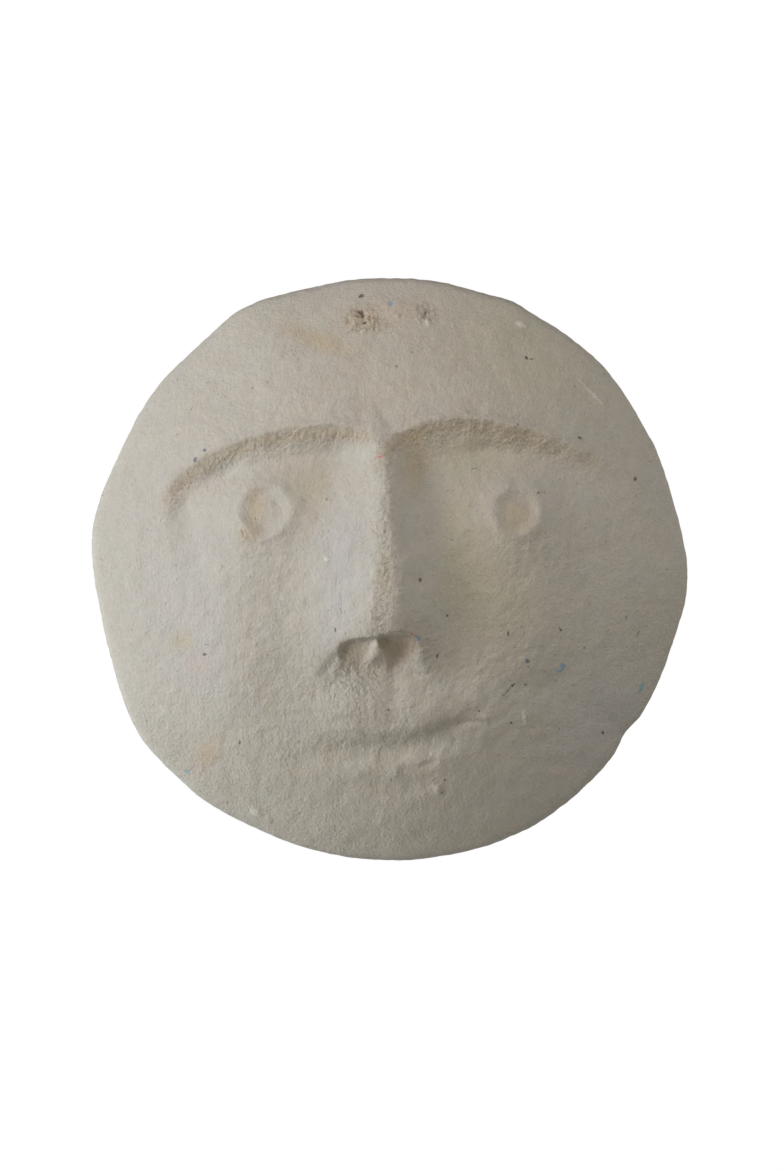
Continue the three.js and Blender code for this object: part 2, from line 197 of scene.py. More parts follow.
def mound(x, z, at, wide, tall, high, turn=0):
    turn = math.radians(turn)
    across = ((x - at[0]) * math.cos(turn) + (z - at[1]) * math.sin(turn)) / wide
    up = ((z - at[1]) * math.cos(turn) - (x - at[0]) * math.sin(turn)) / tall
    return high * np.exp(-(across * across + up * up))


# %% Lines drawn with a finger
LINE_STEPS = 40


def finger_line(handles):
    """Points along a Bezier curve from its four handles."""
    a, b, c, d = (np.array(handle, float) for handle in handles)
    t = np.linspace(0, 1, LINE_STEPS + 1)[:, None]
    return (1 - t) ** 3 * a + 3 * (1 - t) ** 2 * t * b + 3 * (1 - t) * t * t * c + t**3 * d


def from_line(points, x, z):
    """How far each place lies from the line, positive on its left, and the share of its length there."""
    runs = np.concatenate([[0], np.cumsum(np.linalg.norm(np.diff(points, axis=0), axis=1))])
    nearest = np.full(x.shape, np.inf)
    side = np.ones(x.shape)
    share = np.zeros(x.shape)
    last = len(points) - 2
    for i in range(last + 1):
        dx, dz = points[i + 1] - points[i]
        px, pz = x - points[i][0], z - points[i][1]
        step = (px * dx + pz * dz) / (dx * dx + dz * dz)
        step = np.clip(step, -np.inf if i == 0 else 0, np.inf if i == last else 1)
        off = np.hypot(px - step * dx, pz - step * dz)
        closer = off < nearest
        nearest = np.where(closer, off, nearest)
        side = np.where(closer, np.where(dx * pz - dz * px < 0, -1, 1), side)
        share = np.where(closer, (runs[i] + step * (runs[i + 1] - runs[i])) / runs[-1], share)
    return side * nearest, share


def straight_share(handles, x, z):
    """0 beside the start of a line and 1 beside its end, however the line bends between them."""
    (from_x, from_z), (to_x, to_z) = handles[0], handles[3]
    dx, dz = to_x - from_x, to_z - from_z
    return ((x - from_x) * dx + (z - from_z) * dz) / (dx * dx + dz * dz)


print("relief tools ready")

# %% [markdown]
# ## The dome and its outline
#
# The plaque was trimmed by hand, so its outline wanders around a circle of 96 mm: a few swells, and one
# dent at the lower right. The dome over it is a cap of a sphere, steepest at the rim. The outline and the
# dome have the sizes of the solid model, repeated here because the fine mesh has to lie on the same
# surface.

# %% Outline and dome
FACE_RADIUS = 96
EVEN_RADIUS = 97
RIM_DEPTH = 9
RIM_ROLL = 3
ROLL_FROM = 0.98
EVEN_FROM = 0.45
CARVING_FADES = (0.86, 1)
DOME_RISE = 37
DOME_EDGE = math.radians(43)
OUTLINE_SWELLS = [
    # degrees round from the right, height mm, half width in degrees
    (-2, 2.3, 9),
    (46, 1.0, 10),
    (65, 0.9, 4),
    (119, 2.6, 9),
    (143, 1.3, 12),
    (172, 2.9, 12),
    (214, 3.0, 12),
    (231, 1.4, 8),
    (298, 0.9, 14),
    (325, -1.6, 3.5),
]


def outline_radius(angle):
    degrees = np.degrees(angle)
    radius = np.full(angle.shape, float(FACE_RADIUS))
    for toward, high, wide in OUTLINE_SWELLS:
        radius += high * bell((degrees - toward + 180) % 360 - 180, wide)
    return radius


def dome_height(share):
    fall = np.sqrt(1 - (math.sin(DOME_EDGE) * share) ** 2) - math.cos(DOME_EDGE)
    return RIM_DEPTH + DOME_RISE * fall / (1 - math.cos(DOME_EDGE))


# %% [markdown]
# ## The face
#
# Each feature is a function of its own, in millimetres from the middle of the face. The brows are
# finger-wide steps down into the eye sockets with a soft ridge above, the eyes are shallow rings pressed
# into low mounds, and the nose is a wedge with a wide flank on the left, a rounded ridge and a steeper
# flank on the right. The nostrils are two thumb hollows under its tip. The large forms are those of the
# solid, within a millimetre or two, and the brows' bright lips and the scoops under them are only here,
# because they are finer than the solid's facets.

# %% Brows and eye sockets
BROW_RIDGE_HIGH, BROW_RIDGE_WIDE = 1.2, 9
BROW_LIP_HIGH, BROW_LIP_WIDE, BROW_LIP_OFF = 0.8, 1.3, 1.1
BROW_EDGE = 0.5
SOCKET_BACK = 17
BROWS = [
    # Bezier handles of the edge
    # depth at both ends, hollowness, width of the step at both ends, where it rises, where it falls away
    (
        [(-77, 20), (-66, 41.5), (-30, 48.8), (-8, 45.3)],
        (3.1, 4.7), 1.25, (7.5, 9.5), (-0.02, 0.14), (0.96, 1.07),
    ),
    (
        [(-3, 39.5), (7, 49), (33, 57.4), (85, 26.8)],
        (2.7, 4.6), 1.3, (12.5, 5), (-0.07, 0.02), (0.45, 1.02),
    ),
]
# mounds and hollows: middle, half width, half height, how high, turn in degrees
SOCKET_CORNERS = [((-23, 22), 9, 15, -1.2), ((14, 24), 8, 15, -0.8)]
BROW_SCOOPS = [((-53.5, 32.5), 5, 3.2, -1.8, 30), ((-36, 41), 4, 2.4, -0.4, 12), ((31, 38), 8, 4.5, -1.5)]


def brows_and_sockets(x, z):
    height = sum(mound(x, z, *each) for each in SOCKET_CORNERS + BROW_SCOOPS)
    for handles, deep_ends, hollow, wide_ends, rise, fall in BROWS:
        off = from_line(finger_line(handles), x, z)[0]
        share = straight_share(handles, x, z)
        deep, wide = (np.interp(share, (0, 1), ends) for ends in (deep_ends, wide_ends))
        below = np.clip(0.5 * (-off + np.hypot(off, BROW_EDGE)) / wide, 0, 1)
        past_step = np.clip(-off - wide, 0, None)
        above = np.clip(off, 0, None)
        ridge = BROW_RIDGE_HIGH * bell(above, BROW_RIDGE_WIDE)
        lip = BROW_LIP_HIGH * bell(off - BROW_LIP_OFF, BROW_LIP_WIDE)
        step = 1 - (1 - below) ** hollow
        socket = (deep + BROW_RIDGE_HIGH) * step * bell(past_step, SOCKET_BACK)
        level_again = BROW_RIDGE_HIGH * (1 - bell(past_step, SOCKET_BACK))
        height = height + between(rise, fall, share) * (ridge + lip - socket - level_again)
    return height


# %% Eyes
EYE_MOUNDS = [((-43, 18), 16, 15, 3.4), ((40, 17.5), 16, 15, 4.3)]
# rings: middle, radius, depth
EYES = [((-40.4, 18.9), 8.0, 1.7), ((41.3, 18.6), 7.4, 1.3)]
EYE_FLOOR = 0.5
EYE_RING_HIGH, EYE_RING_WIDE, EYE_RING_BEYOND = 0.5, 2.2, 0.8


def eyes(x, z):
    height = np.zeros(x.shape)
    for at, radius, deep in EYES:
        out = np.hypot(x - at[0], z - at[1])
        height += EYE_RING_HIGH * bell(out - radius - EYE_RING_BEYOND, EYE_RING_WIDE)
        height -= deep * (1 - smooth_step(radius * EYE_FLOOR, radius + EYE_RING_BEYOND, out))
    return height


# %% Nose and nostrils
NOSE_STATIONS = np.array([
    # height z, ridge, half width of its flat top, left foot, right foot, how high the ridge stands
    (-36, -3.5, 0.5, -25, 19, 14.4),
    (-25, -3.2, 1.2, -28, 19.5, 14.4),
    (-15, -2.2, 3.0, -30, 18.5, 14.3),
    (0, -0.9, 1.4, -29, 16.5, 12.5),
    (20, -1.3, 0.4, -22, 11.5, 8.8),
    (36, -1.8, 0.3, -15, 6.5, 4.8),
    (46, -4.2, 1.2, -12, 0, 2.2),
    (56, -8, 1.0, -11, -4, 0.5),
])
RIDGE_ROUND = 3.8
LEFT_HOLLOW, RIGHT_HOLLOW = 1.3, 1.18
LEFT_FOOT_ROUND, RIGHT_FOOT_ROUND = 0.35, 0.15
TIP_X, TIP_Z, TIP_BACK = -3.5, -21, 12.5
WING_DROP, WING_FROM, WING_TO = 5, 5, 20
DROOP_FROM, DROOP, DROOP_MOST = -12, 0.11, 1.3
NOSE_ROOT = (46, 58)
NOSTRILS = [
    # top and fall: how the upper edge bends. wall and slope: where the left and right sides rise. lean: how
    # far the two move for each mm down. Then the depth and the length down.
    {
        "top": (-6.8, -22.1), "fall": 0.018, "wall": (-17.4, -14.0), "slope": (-6, -2.2), "lean": (0, 0.4),
        "deep": 3.3, "down": 4.8,
    },
    {
        "top": (2.0, -20.4), "fall": 0.045, "wall": (-5.2, -2.8), "slope": (2.2, 11), "lean": (-0.5, 0),
        "deep": 5.5, "down": 8,
    },
]
NOSTRIL_EDGE = 1.2
LEAN_TO = 8
WING_GROOVES = [((-20, -31.5), 3.6, 1.7, -0.9, 45), ((15, -26.8), 3.8, 1.8, -0.8, -50)]


def nose_at(z):
    """Ridge, half width of its top, left and right foot and height at each z, smooth between the stations."""
    stations = NOSE_STATIONS[:, 0]
    slopes = np.zeros(NOSE_STATIONS[:, 1:].shape)
    slopes[1:-1] = (NOSE_STATIONS[2:, 1:] - NOSE_STATIONS[:-2, 1:]) / (stations[2:] - stations[:-2])[:, None]
    at = np.clip(z, stations[0], stations[-1])
    low = np.clip(np.searchsorted(stations, at, side="right") - 1, 0, len(stations) - 2)
    gap = (stations[low + 1] - stations[low])[:, None]
    s = ((at - stations[low])[:, None]) / gap
    rest = 1 - s
    values = (1 + 2 * s) * rest**2 * NOSE_STATIONS[low, 1:] + s * rest**2 * gap * slopes[low]
    values += s * s * (3 - 2 * s) * NOSE_STATIONS[low + 1, 1:] + s * s * (s - 1) * gap * slopes[low + 1]
    return values.T


def nose_cover(x, z, ridge, flat, left, right, high):
    """How far the nose covers the face at a place, from 0 beside it to 1 on its ridge."""
    on_left = x < ridge
    flank = np.where(on_left, ridge - left, right - ridge) - flat
    out = np.clip(np.abs(x - ridge) - flat, 0, None) / flank
    roundness = RIDGE_ROUND * high / NOSE_STATIONS[:, -1].max() / flank
    foot_round = np.where(on_left, LEFT_FOOT_ROUND, RIGHT_FOOT_ROUND)
    wedge = 1 + roundness - np.hypot(out, roundness)
    cover = 0.5 * (wedge + np.hypot(wedge, foot_round)) / (0.5 + 0.5 * np.hypot(1, foot_round))
    cover = np.clip(cover, 0, 1) ** np.where(on_left, LEFT_HOLLOW, RIGHT_HOLLOW)
    lower_edge = TIP_Z - WING_DROP * smooth_step(WING_FROM, WING_TO, np.abs(x - TIP_X))
    droop = DROOP * np.clip((DROOP_FROM - z) / (DROOP_FROM - lower_edge), 0, DROOP_MOST) ** 2
    underside = (1 - droop) * (1 - smooth_step(0, TIP_BACK, lower_edge - z))
    return cover * underside * (1 - smooth_step(*NOSE_ROOT, z))


def nostrils(x, z):
    """Thumb hollows: a sharp edge above, a steep wall on the left, a slope up to the right."""
    height = sum(mound(x, z, *groove) for groove in WING_GROOVES)
    for one in NOSTRILS:
        below_edge = one["top"][1] - one["fall"] * (x - one["top"][0]) ** 2 - z
        down = np.clip(below_edge, 0, LEAN_TO)
        wall_lean, slope_lean = one["lean"]
        across = smooth_step(*one["wall"], x + wall_lean * down)
        across = across * (1 - smooth_step(*one["slope"], x + slope_lean * down))
        past_edge = np.clip(below_edge - NOSTRIL_EDGE, 0, None)
        drop = smooth_step(0, NOSTRIL_EDGE, below_edge) * bell(past_edge, one["down"])
        height -= one["deep"] * across * drop
    return height


# %% Cheeks, muzzle and mouth
CHEEKS = [((-50, -20), 15, 36, 3.2, 4), ((42, -12), 17, 26, 3.0, -14)]
MUZZLE = [
    ((-2, -45), 26, 11, 3.8, 4),
    ((13, -49), 6, 6, 0.9),
    ((-14, -43), 6, 7, 0.6),
    ((1, -41), 4, 7, -0.8),
]
MOUTH = [(-30, -54), (-5, -60.5), (12, -58), (42.5, -38)]
MOUTH_RISE, MOUTH_FALL = (0, 0.25), (0.55, 0.95)
MOUTH_VALLEY, MOUTH_VALLEY_WIDE = 0.6, 2.3
MOUTH_STEP, MOUTH_STEP_WIDE, MOUTH_STEP_BACK = 0.9, 3, 13
UPPER_LIP, UPPER_LIP_OFF, UPPER_LIP_WIDE = 0.6, 4.5, 3.5
LOWER_LIP, LOWER_LIP_OFF, LOWER_LIP_WIDE = 1.3, 9, 3.8
LOWER_LIP_RISE, LOWER_LIP_FALL = (0.02, 0.2), (0.5, 0.8)
CHEEK_FOLD = [(27, -37), (40, -43), (54, -38), (66, -30)]
CHEEK_FOLD_DEEP, CHEEK_FOLD_WIDE = 1.0, 5
CHEEK_FOLD_RISE, CHEEK_FOLD_FALL = (0, 0.4), (0.6, 1)
JAW_DENT = ((-47, -74), 14, 5, -1.5, -30)
CHIN = ((12, -71), 20, 13, 0.9)
MOUTH_CORNER = ((27, -53), 32, 13, 1.5, 50)


def mouth(x, z):
    off, share = from_line(finger_line(MOUTH), x, z)
    along = between(MOUTH_RISE, MOUTH_FALL, share)
    valley = MOUTH_VALLEY * bell(off, MOUTH_VALLEY_WIDE)
    below = bell(np.clip(-off, 0, None), MOUTH_STEP_BACK)
    step = MOUTH_STEP * smooth_step(-MOUTH_STEP_WIDE, MOUTH_STEP_WIDE, -off) * below
    upper = UPPER_LIP * bell(off - UPPER_LIP_OFF, UPPER_LIP_WIDE)
    lower = LOWER_LIP * bell(off + LOWER_LIP_OFF, LOWER_LIP_WIDE)
    lower = lower * between(LOWER_LIP_RISE, LOWER_LIP_FALL, share)
    return along * (upper - valley - step) + lower


def cheek_fold(x, z):
    off, share = from_line(finger_line(CHEEK_FOLD), x, z)
    return -CHEEK_FOLD_DEEP * bell(off, CHEEK_FOLD_WIDE) * between(CHEEK_FOLD_RISE, CHEEK_FOLD_FALL, share)


def carving(x, z):
    ridge, flat, left, right, high = nose_at(z)
    cover = nose_cover(x, z, ridge, flat, left, right, high)
    height = brows_and_sockets(x, z) + sum(mound(x, z, *each) for each in EYE_MOUNDS)
    height = height * (1 - cover) + high * cover
    height += eyes(x, z) + nostrils(x, z) + mouth(x, z) + cheek_fold(x, z)
    return height + sum(mound(x, z, *each) for each in CHEEKS + MUZZLE + [JAW_DENT, CHIN, MOUTH_CORNER])


# %% Front of the plaque
def front_height(x, z, shift_x=0, shift_z=0):
    """Height in mm in front of the wall, with the carving shifted a little and the rim rolled."""
    radius = outline_radius(np.arctan2(z, x))
    share = np.clip(np.hypot(x, z) / radius, 0, 1)
    even = EVEN_RADIUS + (radius - EVEN_RADIUS) * smooth_step(EVEN_FROM, 1, share)
    height = dome_height(np.clip(share * radius / even, 0, 1))
    height += carving(x + shift_x, z + shift_z) * (1 - smooth_step(*CARVING_FADES, share))
    rolled = np.clip((share - ROLL_FROM) / (1 - ROLL_FROM), 0, 1)
    rim = RIM_DEPTH - RIM_ROLL
    return rim + (height - rim) * np.sqrt(1 - rolled**2)


middle = front_height(np.zeros(1), np.zeros(1))
print("height at the middle of the face", middle.round(1), "mm")

# %% [markdown]
# ## The fine mesh
#
# The solid model is a mesh of loose triangles, so the piece starts as a copy of it with the doubled corners
# merged. Cutting every edge in four gives points about 0.6 mm apart, close enough to carry crumbs of pulp.
# The crumbly patch at the top of the forehead gets one more cut. The edges of the open back are square on
# the solid. On the real shell they were pressed down by fingers while wet, and a few passes of smoothing
# round them. Smoothing tears a mesh whose points lie uneven, so the long edges at the hanging pad are
# halved first, and only points whose edges are all short are smoothed.

# %% Copy and divide the solid
PAD_WIDE, PAD_LOW = 24, -26
LONGEST_AT_PAD = 7
EDGE_CUTS = 3
MERGE = 1e-5
PATCH_AT, PATCH_WIDE, PATCH_TALL = (0, 84), 20, 9
SQUARE_EDGE = math.radians(35)
FRONT_TILT = -0.02
SMOOTH_PASSES = 5
SMOOTH_SHARE = 0.5
EVEN_EDGE = 1.6


def is_even(point):
    return all(edge.calc_length() < EVEN_EDGE * MM for edge in point.link_edges)


pulp = bmesh.new()
pulp.from_mesh(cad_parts[SHELL].data)
bmesh.ops.remove_doubles(pulp, verts=pulp.verts, dist=MERGE)


def long_at_pad(edge):
    middle = (edge.verts[0].co + edge.verts[1].co) / 2 / MM
    behind = all(face.normal.y > FRONT_TILT for face in edge.link_faces)
    at_pad = abs(middle.x) < PAD_WIDE and middle.z > PAD_LOW
    return behind and at_pad and edge.calc_length() > LONGEST_AT_PAD * MM


pulp.normal_update()
long_edges = [edge for edge in pulp.edges if long_at_pad(edge)]
while long_edges:
    print(len(long_edges), "long edges at the pad halved")
    bmesh.ops.subdivide_edges(pulp, edges=long_edges, cuts=1)
    bmesh.ops.triangulate(pulp, faces=[face for face in pulp.faces if len(face.verts) > 3])
    pulp.normal_update()
    long_edges = [edge for edge in pulp.edges if long_at_pad(edge)]
bmesh.ops.subdivide_edges(pulp, edges=pulp.edges, cuts=EDGE_CUTS, use_grid_fill=True)


def in_patch(point):
    across = (point.co.x / MM - PATCH_AT[0]) / PATCH_WIDE
    up = (point.co.z / MM - FACE_CENTRE_Z - PATCH_AT[1]) / PATCH_TALL
    return point.normal.y < FRONT_TILT and math.hypot(across, up) < 1


pulp.normal_update()
patch = [edge for edge in pulp.edges if in_patch(edge.verts[0]) and in_patch(edge.verts[1])]
bmesh.ops.subdivide_edges(pulp, edges=patch, cuts=1, use_grid_fill=True)
bmesh.ops.triangulate(pulp, faces=[face for face in pulp.faces if len(face.verts) > 3])
print(len(pulp.verts), "points,", len(pulp.faces), "faces,", len(patch), "edges cut again in the patch")

# %% Soften the square edges of the back
for smooth_pass in range(SMOOTH_PASSES):
    pulp.normal_update()
    square = set()
    for edge in pulp.edges:
        behind = all(face.normal.y > FRONT_TILT for face in edge.link_faces)
        if behind and edge.is_convex and edge.calc_face_angle() > SQUARE_EDGE:
            square.update(edge.verts)
    around = {other for point in square for edge in point.link_edges for other in edge.verts}
    even = [point for point in around if is_even(point)]
    bmesh.ops.smooth_vert(
        pulp, verts=even, factor=SMOOTH_SHARE, use_axis_x=True, use_axis_y=True, use_axis_z=True
    )
    print("pass", smooth_pass + 1, "softened", len(even), "points")

# %% The mesh and its points
pulp.normal_update()
face_mesh = bpy.data.meshes.new("moon_face")
pulp.to_mesh(face_mesh)
pulp.free()
for leftover in ("custom_normal", "sharp_face"):
    if leftover in face_mesh.attributes:
        face_mesh.attributes.remove(face_mesh.attributes[leftover])

places = np.empty(len(face_mesh.vertices) * 3)
face_mesh.vertices.foreach_get("co", places)
places = places.reshape(-1, 3) / MM
x, depth, z = places[:, 0], -places[:, 1], places[:, 2] - FACE_CENTRE_Z
share_out = np.hypot(x, z) / outline_radius(np.arctan2(z, x))

tilts = np.empty(len(face_mesh.polygons) * 3)
face_mesh.polygons.foreach_get("normal", tilts)
corners = np.empty(len(face_mesh.loops), int)
face_mesh.loops.foreach_get("vertex_index", corners)
front = np.zeros(len(x), bool)
front[corners.reshape(-1, 3)[tilts[1::3] < FRONT_TILT]] = True
print(front.sum(), "points on the front")

# %% [markdown]
# ## Lifting the front
#
# The facets of the solid disappear when every point of the front is set to the exact height of the relief.
# The rim is a quarter round in the relief, so the last ring, where it ends, is left where it is. Hands draw
# no line quite true, so smooth noise shifts the carving by less than a millimetre sideways: every edge
# wanders a little.

# %% Noise on the points
def pulp_noise(size, seed, octaves=1):
    """Smooth noise at every point, about -1 to 1, for grains of this size in mm."""
    finer, weaker = 2.0, 1.0
    grid = np.column_stack([x, depth, z]) / size + seed
    return np.array([noise.fractal(Vector(place), weaker, finer, octaves) for place in grid])


# %% Lift the front to the relief
OUTLINE_RING = 0.9985
WANDER = 0.7
WANDER_SIZE = 7
lifted = front & (share_out < OUTLINE_RING)
SEED_X, SEED_Z = 120, 140
shift_x = WANDER * pulp_noise(WANDER_SIZE, SEED_X, octaves=2)
shift_z = WANDER * pulp_noise(WANDER_SIZE, SEED_Z, octaves=2)
depth = np.where(lifted, front_height(x, z, shift_x, shift_z), depth)
print("highest point", depth.max().round(2), "mm in front of the wall")

# %% [markdown]
# ## Waves, lumps and crumbs
#
# Wet pulp pressed by hand dries uneven at every size: long waves from the fingers, lumps a few millimetres
# wide, and a fine grain. Where it was pushed up and left, under the brows, along the nose and the lips, it
# stays crumbly. Those places are one mask. A Voronoi pattern gives the crumbs: the gap between the nearest
# and the second nearest cell is 0 in the cracks and grows towards the middle of each crumb. Along the nose
# they are drawn out into strands.

# %% Crumbs pressed together
# The bend of the cells is drawn at random, and a fixed seed makes the same crumbs each time.
BEND_SEED = 1795795517
LEAST_MASK = 0.02
CRUMB_BEND = 0.3
CRUMB_STEEP = 1.6
BIG_SHARE, SMALL_SHARE = 0.6, 0.4
noise.seed_set(BEND_SEED)


def pebbles(size, seed, where, tall=1):
    """Round crumbs, 0 in the cracks and 1 on top, worked out only where the mask needs them."""
    grid = np.column_stack([x, depth, z / tall]) / size + seed
    top = np.zeros(len(x))
    for i in np.flatnonzero(where > LEAST_MASK):
        place = Vector(grid[i])
        bent_place = place + CRUMB_BEND * noise.turbulence_vector(place, 2, False)
        nearest, second = noise.voronoi(bent_place)[0][:2]
        top[i] = min(1, CRUMB_STEEP * (second - nearest))
    return top


def crumb_heap(where, sizes, seeds, tall=1):
    """Big crumbs with small ones among them."""
    big = pebbles(sizes[0], seeds[0], where, tall)
    small = pebbles(sizes[1], seeds[1], where)
    return BIG_SHARE * big + SMALL_SHARE * small


print("crumbs ready")

# %% Where the pulp stayed crumbly
CRUMBS_BY_NOSTRILS = [((-13, -35), 12, 8, 1), ((-1, -23), 14, 3.5, 0.7), ((12, -27), 5, 8, 0.8)]
CRUMBS_ON_MUZZLE = [((-8, -46), 22, 6, 0.5), ((-32, -60), 6, 3.5, 0.9), ((2, -66), 9, 3, 0.6)]
CRUMBS_ELSEWHERE = [
    ((-47, 11), 4, 3, 0.9),
    ((-33, 71), 5, 2, 0.9),
    ((44, -50), 5, 5, 0.5),
    ((22, 50), 20, 3, 0.5),
]
BROW_CRUMBS_OFF, BROW_CRUMBS_WIDE = 3, 3.4
RIDGE_CRUMBS_OFF, RIDGE_CRUMBS_WIDE = 0.8, 5.2
RIDGE_CRUMBS_RISE, RIDGE_CRUMBS_FALL = (-26, -20), (38, 46)
RIDGE_WIDE_RISE, RIDGE_WIDE_FALL, RIDGE_LEAST_WIDE = (-24, -12), (36, 48), 0.3
RIDGE_THINNER, RIDGE_THINS = 0.55, (-5, 40)
MOUTH_CRUMBS, MOUTH_CRUMBS_WIDE = 0.5, 3
MOUTH_CRUMBS_RISE, MOUTH_CRUMBS_FALL = (0, 0.1), (0.7, 1)


def crumbly(x, z):
    """How crumbly each place is, from 0 to 1."""
    amount = np.zeros(x.shape)
    for handles, *_, rise, fall in BROWS:
        off = from_line(finger_line(handles), x, z)[0]
        along = between(rise, fall, straight_share(handles, x, z))
        amount += bell(off + BROW_CRUMBS_OFF, BROW_CRUMBS_WIDE) * along
    off_ridge = x - nose_at(z)[0] + RIDGE_CRUMBS_OFF
    band = between(RIDGE_WIDE_RISE, RIDGE_WIDE_FALL, z) * (1 - RIDGE_THINNER * smooth_step(*RIDGE_THINS, z))
    along = between(RIDGE_CRUMBS_RISE, RIDGE_CRUMBS_FALL, z)
    amount += bell(off_ridge / band.clip(RIDGE_LEAST_WIDE, 1), RIDGE_CRUMBS_WIDE) * along
    off, share = from_line(finger_line(MOUTH), x, z)
    along = between(MOUTH_CRUMBS_RISE, MOUTH_CRUMBS_FALL, share)
    amount += MOUTH_CRUMBS * bell(off, MOUTH_CRUMBS_WIDE) * along
    for at, wide, tall, high in CRUMBS_BY_NOSTRILS + CRUMBS_ON_MUZZLE + CRUMBS_ELSEWHERE:
        amount += mound(x, z, at, wide, tall, high)
    return amount.clip(0, 1)


crumbs = crumbly(x, z) * front
PATCH_CRUMBS = [
    ((-9.3, 83), 5.5, 4.2, 1.0),
    ((-6, 78.5), 6, 2.6, 0.8),
    ((-12.5, 79.5), 3, 2.2, 0.5),
    ((4, 83.5), 9, 4.0, 0.5),
    ((11.5, 83), 4.5, 4.0, 0.8),
]
PATCH_RAGGED, PATCH_RAGGED_SIZE, PATCH_SEED = 0.3, 3, 15
PATCH_EDGE = (0.3, 0.85)
rough_patch = sum(mound(x, z, *each) for each in PATCH_CRUMBS)
rough_patch = rough_patch + PATCH_RAGGED * pulp_noise(PATCH_RAGGED_SIZE, PATCH_SEED)
rough_patch = smooth_step(*PATCH_EDGE, rough_patch) * front
print("crumbly points", (crumbs > 0.5).sum())

# %% Waves and crumbs on the front
WAVES = [
    # height in mm, size in mm, seed, octaves: of the hand, of the fingers, lumps, grain
    (0.5, 34, 11, 1),
    (0.3, 13, 5, 1),
    (0.27, 5.5, 3, 2),
    (0.15, 2.1, 8, 2),
]
CRUMB_HEIGHT, CRUMB_LEVEL = 0.6, 0.45
PATCH_HEIGHT, PATCH_LEVEL = 1.0, 0.4
STRANDS_OFF, STRANDS_WIDE = 2, 9
STRANDS_RISE, STRANDS_FALL = (-16, -8), (38, 46)
UNEVEN_FADES = (0.93, 0.995)

inner = 1 - smooth_step(*UNEVEN_FADES, share_out)
uneven = sum(high * pulp_noise(size, seed, octaves) for high, size, seed, octaves in WAVES)
humps = crumb_heap(crumbs, sizes=(2.3, 1.3), seeds=(21, 34)) - CRUMB_LEVEL
strands = crumb_heap(crumbs, sizes=(1.8, 1.3), seeds=(50, 61), tall=2.2) - CRUMB_LEVEL
patch_heap = crumb_heap(rough_patch, sizes=(2.4, 1.2), seeds=(77, 90)) - PATCH_LEVEL
on_nose = bell(x - nose_at(z)[0] + STRANDS_OFF, STRANDS_WIDE) * between(STRANDS_RISE, STRANDS_FALL, z)
uneven += CRUMB_HEIGHT * crumbs * (humps * (1 - on_nose) + strands * on_nose)
uneven += PATCH_HEIGHT * rough_patch * patch_heap
depth = depth + uneven * inner * lifted
print("unevenness of the front from", uneven.min().round(2), "to", uneven.max().round(2), "mm")

# %% [markdown]
# ## Accidents
#
# Lumps, pits and creases are where a crumb of pulp stuck, a bubble broke or a fingernail touched. Each is a
# mound or a hollow of its own size, and they are what makes this shell this one and not another.

# %% Lumps, pits and creases
ACCIDENTS = [
    # place, wide, tall, height, turn
    ((-9.8, 83.8), 1.7, 1.0, -1.3, -25),
    ((-8.8, 82.4), 0.8, 1.1, -0.9, 10),
    ((-7.8, 80.3), 1.1, 0.6, -0.7, 30),
    ((11.4, 84.2), 1.7, 0.9, -0.7, 25),
    ((12.3, 80.6), 0.8, 1.1, 0.5, 30),
    ((3.5, 85), 6, 3.2, 0.7, 0),
    ((-7, 79.5), 4.5, 2, 0.4, 0),
    ((-51.5, 80.9), 4, 0.7, -0.7, 45),
    ((42.9, 80.2), 2, 1, 0.8, -20),
    ((45.2, 68.7), 1.2, 0.8, -0.6, 0),
    ((-20.5, 3), 0.9, 0.9, 0.6, 0),
    ((48.2, 25.6), 0.9, 0.9, 0.5, 0),
    ((-44.2, -79.9), 2.2, 1.5, 0.7, -20),
    ((-40.0, -82.6), 1.4, 1.0, 0.5, 0),
    ((-24.5, -33.5), 2.4, 1.5, 0.6, -50),
    ((44.6, -49.0), 1.2, 3.2, 0.6, 10),
    ((47.6, -53.6), 2.4, 1.1, 0.5, 20),
    ((45.4, -51.2), 1.3, 1.3, -0.4, 0),
    ((30.7, -48.0), 1.6, 1.2, 0.5, 0),
    ((1.8, -66.7), 1.6, 1.0, 0.6, 0),
    ((15.6, -72.0), 1.2, 1.2, 1.0, 0),
    ((17.6, -72.9), 0.8, 1.0, -0.5, 0),
    ((54.7, -67.1), 1.8, 1.4, 0.6, 0),
    ((77.4, -54.6), 2.0, 1.6, -0.9, 0),
    ((69.0, -60.0), 2.5, 1.2, 0.4, 40),
]
CREASES = [
    # handles of the line, width, depth
    ([(21.2, -50.6), (24, -49.6), (28, -49.4), (32, -49.3)], 0.7, 0.5),
    ([(1.8, -65.4), (7, -65.6), (12, -64.4), (16, -62)], 0.9, 0.6),
    ([(-15.9, -6), (-15.6, -10), (-16.4, -14), (-15.9, -18)], 0.45, 0.35),
    ([(-20, -52.6), (-12, -54.4), (-4, -54.2), (4, -55.4)], 0.6, 0.35),
    ([(61, 62.8), (64, 60), (68, 56), (71.2, 52.6)], 0.8, -0.3),
]
CREASE_RISE, CREASE_FALL = (0, 0.15), (0.85, 1)
marks = sum(mound(x, z, *accident) for accident in ACCIDENTS)
for handles, wide, deep in CREASES:
    off, share = from_line(finger_line(handles), x, z)
    marks = marks - deep * bell(off, wide) * between(CREASE_RISE, CREASE_FALL, share)
depth = depth + marks * lifted
print(len(ACCIDENTS) + len(CREASES), "accidents,", marks.min().round(2), "to", marks.max().round(2), "mm")

# %% [markdown]
# ## The rim and the inside
#
# The trimmed rim wavers a little, always inwards, so that the piece stays within the solid's box. The
# inside was pressed with the fingers and never smoothed, so its dents are wider and deeper than the
# front's.

